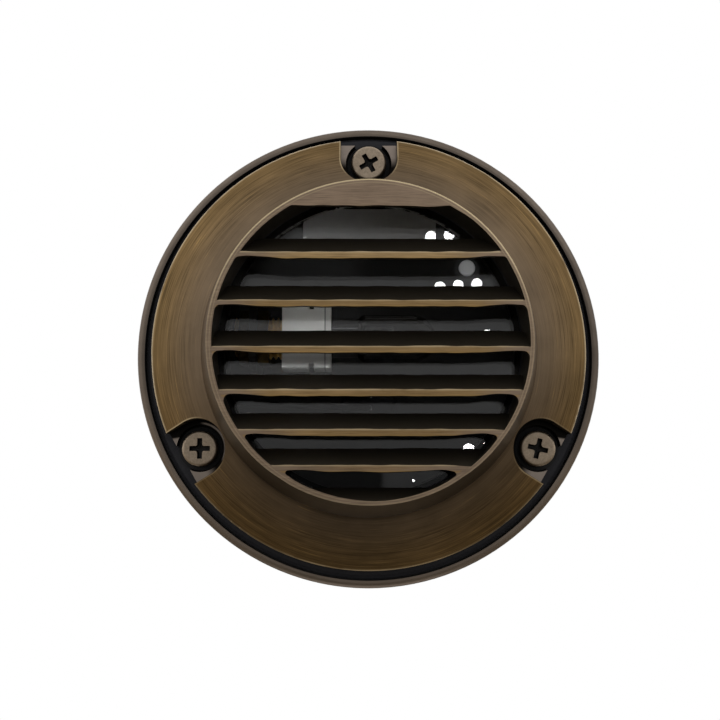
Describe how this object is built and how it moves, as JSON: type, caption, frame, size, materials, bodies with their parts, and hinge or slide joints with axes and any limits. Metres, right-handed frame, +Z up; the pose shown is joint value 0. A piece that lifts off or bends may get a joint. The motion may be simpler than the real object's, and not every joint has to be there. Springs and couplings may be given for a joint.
{
  "type": "deck light",
  "caption": "Round surface-mount brass deck light: louvred cover over a glass lens on a shallow base, held by face screws, with a pin-base lamp holder inside.",
  "frame": {"origin": "centre of the base's back face, on the wall", "axes": "+Y into the wall, so the light faces -Y; +Z up as the louvres throw light down; +X to the right seen from the front"},
  "size_m": [0.09, 0.0323, 0.09],
  "materials": {
    "base_bronze": "antique bronze patina, fine turned finish",
    "cover_bronze": "antique bronze patina, brushed in rings on the bevel and across on the louvres",
    "screw_bronze": "antique bronze patina, smooth",
    "bright_brass": "bare machined brass",
    "gasket_rubber": "matt black",
    "washer_rubber": "matt black",
    "lens_glass": "clear, polished",
    "lamp_glass": "clear, polished",
    "white_ceramic": "white glazed ceramic",
    "bracket_steel": "black oxide",
    "spring_steel": "plain steel",
    "filament_wire": "drawn tungsten wire",
    "vent_plastic": "plain grey moulding",
    "lead_insulation": "black wire insulation"
  },
  "bodies": {
    "base": {"base_housing": "base_bronze", "cover_gasket": "gasket_rubber", "socket_bracket": "bracket_steel", "bracket_screw": "bracket_steel", "socket_nipple": "bright_brass", "nipple_nut_inner": "bright_brass", "nipple_nut_outer": "bright_brass", "lamp_socket": "white_ceramic", "socket_contacts": "spring_steel", "wire_grommet": "gasket_rubber", "vent_plug": "vent_plastic", "lead_wire_a": "lead_insulation", "lead_wire_b": "lead_insulation"},
    "cover": {"louver_cover": "cover_bronze", "lens_gasket": "gasket_rubber", "lens": "lens_glass", "lens_retaining_ring": "spring_steel"},
    "lamp": {"lamp_capsule": "lamp_glass", "lamp_pins": "spring_steel", "lamp_filament": "filament_wire"},
    "washer_top": {"screw_washer_top": "washer_rubber"},
    "screw_top": {"cover_screw_top": "screw_bronze"},
    "washer_left": {"screw_washer_left": "washer_rubber"},
    "screw_left": {"cover_screw_left": "screw_bronze"},
    "washer_right": {"screw_washer_right": "washer_rubber"},
    "screw_right": {"cover_screw_right": "screw_bronze"}
  },
  "joints": [
    {"name": "cover_lift", "type": "slide", "parent": "base", "child": "cover", "axis": [0, -1, 0], "range_m": [0, 0.04]},
    {"name": "lamp_pull", "type": "slide", "parent": "base", "child": "lamp", "axis": [1, 0, 0], "range_m": [0, 0.008]},
    {"name": "screw_rise_top", "type": "slide", "parent": "cover", "child": "washer_top", "axis": [0, -1, 0], "range_m": [0, 0.00556]},
    {"name": "screw_turn_top", "type": "hinge", "parent": "washer_top", "child": "screw_top", "pos_m": [0, -0.0128, 0.037], "axis": [0, -1, 0], "range_deg": [0, 2520]},
    {"name": "screw_rise_left", "type": "slide", "parent": "cover", "child": "washer_left", "axis": [0, -1, 0], "range_m": [0, 0.00556]},
    {"name": "screw_turn_left", "type": "hinge", "parent": "washer_left", "child": "screw_left", "pos_m": [-0.03204, -0.0128, -0.0185], "axis": [0, -1, 0], "range_deg": [0, 2520]},
    {"name": "screw_rise_right", "type": "slide", "parent": "cover", "child": "washer_right", "axis": [0, -1, 0], "range_m": [0, 0.00556]},
    {"name": "screw_turn_right", "type": "hinge", "parent": "washer_right", "child": "screw_right", "pos_m": [0.03204, -0.0128, -0.0185], "axis": [0, -1, 0], "range_deg": [0, 2520]}
  ],
  "couplings": [
    {"joint": "screw_turn_top", "follows": "screw_rise_top", "rad_per_m": 7913.3},
    {"joint": "screw_turn_left", "follows": "screw_rise_left", "rad_per_m": 7913.3},
    {"joint": "screw_turn_right", "follows": "screw_rise_right", "rad_per_m": 7913.3}
  ]
}
